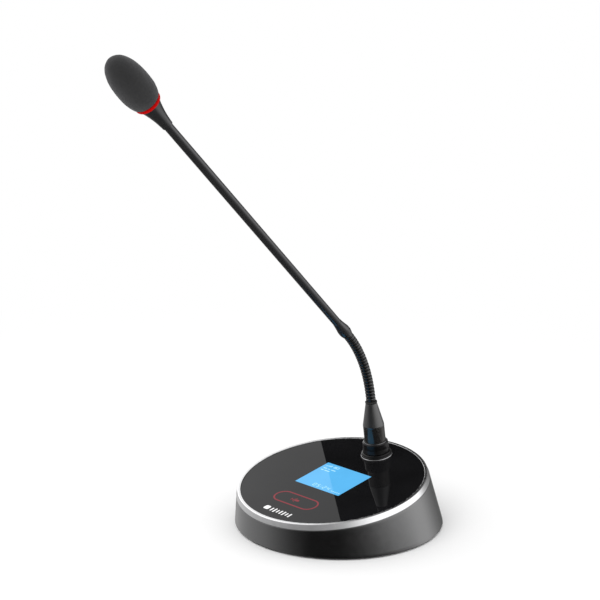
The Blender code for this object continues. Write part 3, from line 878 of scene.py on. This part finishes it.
def make_boom():
    """The ferrule on the neck's end, and the straight tube."""
    ferrule = [
        (1.3, 0.1),
        (3.9, 0.1, 0.1),
        (4.2, 0.35, 0.3),
        (4.75, 3.0, 2.2),
        (4.7, 6.6, 5.0),
        (3.8, 12.3, 6.0),
        (TUBE_RADIUS + 0.12, 16.0, 0.1),
        (2.0, 16.05),
        (2.0, 23.0),
        (1.3, 23.0),
    ]
    turned("ferrule", rounded(ferrule, 8), BOOM, TUBE_BLACK, "boom",
           ["neck_ferrule"])
    shaft = [
        (TUBE_BORE, TUBE_FOOT),
        (TUBE_RADIUS, TUBE_FOOT),
        (TUBE_RADIUS, TUBE_END),
        (TUBE_BORE, TUBE_END),
    ]
    turned("tube", shaft, BOOM, TUBE_BLACK, "boom", ["boom_tube"], 64)


def flare(share):
    """The holder's radius from the tube, at 0, to the light ring, at 1."""
    return 4.0 + 4.2 * (0.3 * share + 0.7 * share**2)


def make_holder():
    """The flared holder between the tube and the light ring."""
    steps = 20
    end = LIGHT_START - 0.1
    reach = end - HOLDER_START
    outside = [(flare(i / steps), HOLDER_START + reach * i / steps) for i in range(steps + 1)]
    bore = TUBE_RADIUS + FIT
    lip = [(bore, HOLDER_START), (3.85, HOLDER_START), (4.0, HOLDER_START + 0.1)]
    inside = [
        (HOLDER_BORE, end),
        (HOLDER_BORE, FUNNEL[1]),
        (CABLE_BORE, FUNNEL[0]),
        (CABLE_BORE, TUBE_END + 0.2),
        (bore, TUBE_END + 0.2),
    ]
    turned("holder", lip + outside[1:] + inside, BOOM, TUBE_BLACK, "boom",
           ["head_holder"], 96)


def make_ring_light():
    """The red light ring, round at its outside."""
    ring = [
        (6.9, LIGHT_START),
        (9.2, LIGHT_START, 0.4),
        (9.85, (LIGHT_START + LIGHT_END) / 2, 2.0),
        (9.2, LIGHT_END, 0.4),
        (6.9, LIGHT_END),
    ]
    turned("ring_light", rounded(ring, 6), BOOM, RED_LIGHT, "boom", ["light_ring"])


def foam_outline(steps=(36, 64)):
    """The foam's outer section, from its lower edge up to its tip."""
    low, high = FOAM_REACH
    power = 2 / FOAM_FULLNESS
    first = math.asin(((FOAM_WIDEST - FOAM_START) / low) ** (FOAM_FULLNESS / 2))
    below = [-first * (1 - i / steps[0]) for i in range(steps[0])]
    above = [math.pi / 2 * i / steps[1] for i in range(steps[1])]
    points = []
    for angle in below + above:
        reach = low if angle < 0 else high
        along = math.copysign(abs(math.sin(angle)) ** power, angle) * reach
        points.append((FOAM_RADIUS * math.cos(angle) ** power, FOAM_WIDEST + along))
    return points


def roughen(verts):
    """Moves the foam's skin in and out by its pores and, more slowly, by its lumps."""
    centre = Vector((0, 0, FOAM_WIDEST))
    for vert in verts:
        outward = (vert.co - centre).normalized()
        pores = noise.noise(vert.co * PORE_SCALE) * PORE_DEPTH
        lumps = noise.noise(vert.co * LUMP_SCALE) * LUMP_DEPTH
        vert.co += outward * (pores + lumps - SKIN_INSET)


def make_windscreen():
    """Foam: a blunt egg with a blind bore and a roughened skin."""
    bore = [
        (0.0, FOAM_BORE_END),
        (FOAM_BORE, FOAM_BORE_END),
        (FOAM_BORE, FOAM_START + 0.5),
        (7.0, FOAM_START + 0.15),
    ]
    # the rounded lower edge, in the place of the outline's first two points
    edge = [(8.9, FOAM_START + 0.15), (9.3, FOAM_START + 0.25), (9.65, FOAM_START + 0.55)]
    profile = bore + edge + foam_outline()[2:] + [(0.0, FOAM_WIDEST + FOAM_REACH[1])]
    bm = bmesh.new()
    loops = [circle(bm, WORLD, r, h, 160) for r, h in profile]
    ring_faces(bm, loops, False)
    # the bore and the edge's first ring stay smooth
    roughen([vert for loop in loops[len(bore) + 1:] for vert in loop])
    windscreen = add_piece("windscreen_foam", bm, BOOM, FOAM, "windscreen",
                           ["foam_windscreen"], WIDE_ANGLE)


def dress_cad_nodes():
    """The CAD nodes that stay get their finished materials."""
    groups = (
        (STEEL, ("panel_carrier", "display_frame", "ballast_plate")),
        (STEEL, [f"cover_screw_{i}" for i in range(1, 5)]),
        (STEEL, [f"board_screw_{i}" for i in range(1, 4)]),
        (BRASS, ["socket_nut"] + [f"board_standoff_{i}" for i in range(1, 4)]),
        (GOLD, [f"plug_pin_{i}" for i in range(1, 4)]),
        (BOARD, ("talk_key_board", "main_board", "light_ring_board")),
        (JACK_PLASTIC, ("socket_insert", "plug_insert", "bus_in_jack", "bus_out_jack",
                        "port_bezel")),
        (BLACK_SATIN, ("bottom_cover", "socket_shell", "capsule_housing")),
        (RUBBER, ("boom_cable", "capsule_mount")),
        (CAPSULE_METAL, ["mic_capsule"]),
        (RED_LIGHT, ["talk_key_light_guide"]),
    )
    for paint, names in groups:
        for name in names:
            mesh = frame["nodes"][name].data
            mesh.materials.clear()
            mesh.materials.append(paint)


# ---------------------------------------------------------------- studio


CAMERA_PLACE = PANEL.to_translation() + Vector((936.9, -972.9, 498.0))
CAMERA_AZIMUTH = math.radians(44.97)
CAMERA_PITCH = math.radians(14.78)  # below the horizon
CAMERA_LENS = 112.48
SENSOR_WIDTH = 36.0
VIEW_END = 50.0  # metres

# What follows is in metres
FLOOR_REACH = 8.0
FLOOR_DROP = 0.0002  # keeps the floor clear of the pad's underside
FLOOR_FADE = (0.25, 0.7)  # from the object's middle, where its paper gives way to plain white
LAMP_PLACE, LAMP_TARGET = (-0.1, -1.1, 1.5), (0.0, 0.0, 0.05)
LAMP_SIZE, LAMP_POWER = (1.0, 1.0), 9.0
DOME_RADIUS = 4.0


def make_camera():
    """A camera at the place and angle that show the object as in its picture."""
    data = bpy.data.cameras.new("camera")
    data.lens = CAMERA_LENS
    data.sensor_width = SENSOR_WIDTH
    data.clip_end = VIEW_END
    camera = bpy.data.objects.new("camera", data)
    camera.location = CAMERA_PLACE * MM
    camera.rotation_euler = (math.pi / 2 - CAMERA_PITCH, 0.0, CAMERA_AZIMUTH)
    bpy.context.scene.collection.objects.link(camera)
    bpy.context.scene.camera = camera


def plain_object(name, mesh, paint):
    """An object of the studio, which isn't part of the microphone."""
    mesh.materials.append(paint)
    obj = bpy.data.objects.new(name, mesh)
    bpy.context.scene.collection.objects.link(obj)
    return obj


def make_floor():
    """A pale floor that takes soft shadows near the object, and fades to plain white round it.
    Glossy pieces don't mirror it, as in a dark studio."""
    mesh = bpy.data.meshes.new("floor")
    bm = bmesh.new()
    bmesh.ops.create_grid(bm, x_segments=1, y_segments=1, size=FLOOR_REACH)
    bm.to_mesh(mesh)
    bm.free()
    paint, tree, shader = new_material("floor_paper")
    set_values(shader, base_color=(0.9, 0.9, 0.9), roughness=0.9, specular_ior_level=0.0)
    place = add_node(tree, "ShaderNodeTexCoord").outputs["Object"]
    distance = add_node(tree, "ShaderNodeVectorMath", operation="LENGTH")
    tree.links.new(place, distance.inputs[0])
    fade = smooth_step(tree, distance.outputs["Value"], *FLOOR_FADE)
    white = add_node(tree, "ShaderNodeEmission")
    blend = add_node(tree, "ShaderNodeMixShader")
    tree.links.new(fade, blend.inputs[0])
    tree.links.new(shader.outputs["BSDF"], blend.inputs[1])
    tree.links.new(white.outputs["Emission"], blend.inputs[2])
    tree.links.new(blend.outputs["Shader"], tree.nodes["Material Output"].inputs["Surface"])
    floor = plain_object("floor", mesh, paint)
    floor.location = (0.0, 0.0, -FLOOR_DROP)
    floor.visible_glossy = False


def make_world():
    """Even white light from all round, which glossy pieces don't mirror."""
    world = bpy.data.worlds.new("studio")
    world.use_nodes = True
    background = world.node_tree.nodes["Background"]
    background.inputs["Color"].default_value = (1.0, 1.0, 1.0, 1.0)
    background.inputs["Strength"].default_value = 1.0
    world.cycles_visibility.glossy = False
    bpy.context.scene.world = world


def make_lamp():
    """The soft light above and in front, which only shades: glossy pieces don't mirror it."""
    data = bpy.data.lights.new("key", "AREA")
    data.shape = "RECTANGLE"
    data.size, data.size_y = LAMP_SIZE
    data.energy = LAMP_POWER
    light = bpy.data.objects.new("key", data)
    light.location = LAMP_PLACE
    direction = Vector(LAMP_TARGET) - Vector(LAMP_PLACE)
    light.rotation_euler = direction.to_track_quat("-Z", "Y").to_euler()
    light.visible_camera = False
    light.visible_glossy = False
    bpy.context.scene.collection.objects.link(light)


# On the glass, in millimetres: the edge of the softbox's reflection, and a point in it
EDGE_START, EDGE_END = (-54.6, 44.0), (52.6, -46.4)
SOFTBOX_POINT = (-60.0, -20.0)


def reflection_plane():
    """The plane through the camera's mirror image in the glass and the reflection's edge, as its
    normal and its offset in metres, and the direction that the middle of the glass mirrors. The
    normal points to the softbox's side."""
    inverse = PANEL.inverted()
    seen = inverse @ CAMERA_PLACE
    mirrored = PANEL @ Vector((seen.x, seen.y, -seen.z))
    first = PANEL @ Vector((*EDGE_START, 0.0))
    second = PANEL @ Vector((*EDGE_END, 0.0))
    normal = (first - mirrored).cross(second - mirrored).normalized()
    inside = PANEL @ Vector((*SOFTBOX_POINT, 0.0))
    if (inside - mirrored).dot(normal) < 0:
        normal = -normal
    middle_way = (PANEL.to_translation() - mirrored).normalized()
    return normal, first.dot(normal) * MM, middle_way


def feed(tree, sockets, values):
    """Gives each socket a number or a link, whichever its value is."""
    for socket, value in zip(sockets, values):
        if isinstance(value, float):
            socket.default_value = value
        else:
            tree.links.new(value, socket)


def math_node(tree, operation, *values):
    """A Math node's result on numbers or links."""
    node = add_node(tree, "ShaderNodeMath", operation=operation)
    feed(tree, node.inputs, values)
    return node.outputs["Value"]


def smooth_step(tree, value, start, end, low=0.0, high=1.0):
    """A smooth rise from low, where the value is start, to high, where it is end."""
    node = add_node(tree, "ShaderNodeMapRange", interpolation_type="SMOOTHSTEP")
    for name, number in zip(RANGE_SOCKETS, (start, end, low, high)):
        node.inputs[name].default_value = number
    tree.links.new(value, node.inputs["Value"])
    return node.outputs["Result"]


def blend_values(tree, factor, first, second):
    """The first value where the factor is 0, and the second where it is 1."""
    node = add_node(tree, "ShaderNodeMix", data_type="FLOAT")
    feed(tree, node.inputs[:1] + node.inputs[2:4], (factor, first, second))
    return node.outputs[0]


def compass_ramp(tree, turn, stops):
    """Brightness by direction round the horizon, where a whole turn runs from 0 at -180 degrees
    to 1 at 180; stops are (degrees from +X, brightness)."""
    ramp = add_node(tree, "ShaderNodeValToRGB")
    elements = ramp.color_ramp.elements
    while len(elements) > 1:
        elements.remove(elements[-1])
    for i, (degrees, level) in enumerate(stops):
        position = (degrees + 180.0) / 360.0
        stop = elements[0] if i == 0 else elements.new(position)
        stop.position = position
        stop.color = (level, level, level, 1.0)
    tree.links.new(turn, ramp.inputs["Fac"])
    return ramp.outputs["Color"]


# What the glossy pieces mirror, as (degrees from +X, brightness), in two rings round the dome:
# one just below the horizon and one above it
BELOW_LIGHTS = (
    (-180.0, 0.52),
    (-165.0, 0.47),
    (-136.0, 0.36),
    (-116.0, 0.21),
    (-96.0, 0.08),
    (-77.0, 0.015),
    (-42.0, 0.01),
    (-24.0, 0.025),
    (-5.0, 0.055),
    (14.0, 0.15),
    (34.0, 0.34),
    (53.0, 0.74),
    (68.0, 0.8),
    (90.0, 0.36),
    (108.0, 0.16),
    (130.0, 0.24),
    (160.0, 0.55),
    (180.0, 0.52),
)
ABOVE_LIGHTS = (
    (-180.0, 0.55),
    (-160.0, 0.8),
    (-141.0, 1.15),
    (-128.0, 1.2),
    (-112.0, 0.75),
    (-95.0, 0.42),
    (-72.0, 0.27),
    (-50.0, 0.32),
    (-36.0, 0.42),
    (-18.0, 0.8),
    (0.0, 1.15),
    (64.0, 1.15),
    (78.0, 0.5),
    (90.0, 0.22),
    (105.0, 0.12),
    (125.0, 0.24),
    (139.0, 0.32),
    (150.0, 0.5),
    (180.0, 0.55),
)
FLOOR_LEVEL, TOP_LEVEL = 0.12, 0.30  # straight down and straight up
# Heights in degrees between which each of these bands takes over from the one below it
BELOW_FROM, ABOVE_FROM, TOP_FROM = (-45.0, -25.0), (-8.0, -1.0), (66.0, 80.0)
# Degrees, from the direction that the glass's middle mirrors, where card and softbox fade out
CARD_REACH, SOFTBOX_REACH = (8.6, 9.1), (34.0, 46.0)
CARD_LEVEL = 0.015
SOFTBOX_LEVELS = (0.86, 1.5)  # at the softbox's edge, and where it is brightest
SOFTBOX_SPAN = 0.7  # metres from the one to the other


def make_dome():
    """What the glossy pieces mirror: pale and dark walls round the horizon, the softbox that the
    glass's left part mirrors, and beside it the dark card that its right part mirrors."""
    mesh = bpy.data.meshes.new("reflection_dome")
    bm = bmesh.new()
    bmesh.ops.create_uvsphere(bm, u_segments=48, v_segments=24, radius=DOME_RADIUS)
    bmesh.ops.reverse_faces(bm, faces=bm.faces)
    bm.to_mesh(mesh)
    bm.free()
    paint = bpy.data.materials.new("reflection_dome")
    paint.use_nodes = True
    tree = paint.node_tree
    tree.nodes.clear()
    glow = add_node(tree, "ShaderNodeEmission")
    tree.links.new(dome_light(tree), glow.inputs["Color"])
    out = add_node(tree, "ShaderNodeOutputMaterial")
    tree.links.new(glow.outputs["Emission"], out.inputs["Surface"])
    paint.cycles.emission_sampling = "NONE"
    dome = plain_object("reflection_dome", mesh, paint)
    dome.visible_camera = False
    dome.visible_diffuse = False
    dome.visible_transmission = False
    dome.visible_shadow = False
    dome.visible_volume_scatter = False


def dome_light(tree):
    """The dome's brightness: bands by height, with the softbox and the card set into them."""
    place = add_node(tree, "ShaderNodeTexCoord").outputs["Object"]
    level = banded_light(tree, place)
    depth, off_axis = mirrored_side(tree, place)
    left = math_node(tree, "GREATER_THAN", depth, 0.0)
    right = math_node(tree, "SUBTRACT", 1.0, left)
    softbox = smooth_step(tree, off_axis, *SOFTBOX_REACH, 1.0, 0.0)
    softbox_level = smooth_step(tree, depth, 0.0, SOFTBOX_SPAN, *SOFTBOX_LEVELS)
    card = smooth_step(tree, off_axis, *CARD_REACH, 1.0, 0.0)
    level = blend_values(tree, math_node(tree, "MULTIPLY", softbox, left), level, softbox_level)
    return blend_values(tree, math_node(tree, "MULTIPLY", card, right), level, CARD_LEVEL)


def banded_light(tree, place):
    """Brightness by height: the floor's level, the two rings round the horizon, the top's."""
    split = add_node(tree, "ShaderNodeSeparateXYZ")
    tree.links.new(place, split.inputs["Vector"])
    turn = math_node(tree, "ARCTAN2", split.outputs["Y"], split.outputs["X"])
    turn = math_node(tree, "MULTIPLY_ADD", turn, 0.5 / math.pi, 0.5)
    height = math_node(tree, "DIVIDE", split.outputs["Z"], DOME_RADIUS)
    height = math_node(tree, "DEGREES", math_node(tree, "ARCSINE", height))
    below = compass_ramp(tree, turn, BELOW_LIGHTS)
    above = compass_ramp(tree, turn, ABOVE_LIGHTS)
    level = blend_values(tree, smooth_step(tree, height, *BELOW_FROM), FLOOR_LEVEL, below)
    level = blend_values(tree, smooth_step(tree, height, *ABOVE_FROM), level, above)
    return blend_values(tree, smooth_step(tree, height, *TOP_FROM), level, TOP_LEVEL)


def mirrored_side(tree, place):
    """How many metres a point of the dome lies to the softbox's side of the reflection's edge,
    and how many degrees from the direction that the middle of the glass mirrors."""
    normal, offset, middle_way = reflection_plane()
    side = add_node(tree, "ShaderNodeVectorMath", operation="DOT_PRODUCT")
    side.inputs[1].default_value = normal
    tree.links.new(place, side.inputs[0])
    depth = math_node(tree, "SUBTRACT", side.outputs["Value"], offset)
    along = add_node(tree, "ShaderNodeVectorMath", operation="DOT_PRODUCT")
    along.inputs[1].default_value = middle_way / DOME_RADIUS
    tree.links.new(place, along.inputs[0])
    off_axis = math_node(tree, "ARCCOSINE", along.outputs["Value"])
    return depth, math_node(tree, "DEGREES", off_axis)


def make_studio():
    """The camera, the pale floor and the light."""
    bpy.context.scene.view_settings.view_transform = "Standard"
    make_camera()
    make_floor()
    make_world()
    make_dome()
    make_lamp()


def main():
    make_base()
    make_rim()
    make_glass()
    make_display()
    make_talk_key()
    make_front_mark()
    make_underside()
    make_ports()
    make_socket()
    make_collar()
    make_barrel()
    make_cone()
    make_neck()
    make_boom()
    make_holder()
    make_ring_light()
    make_windscreen()
    dress_cad_nodes()
    make_studio()


main()
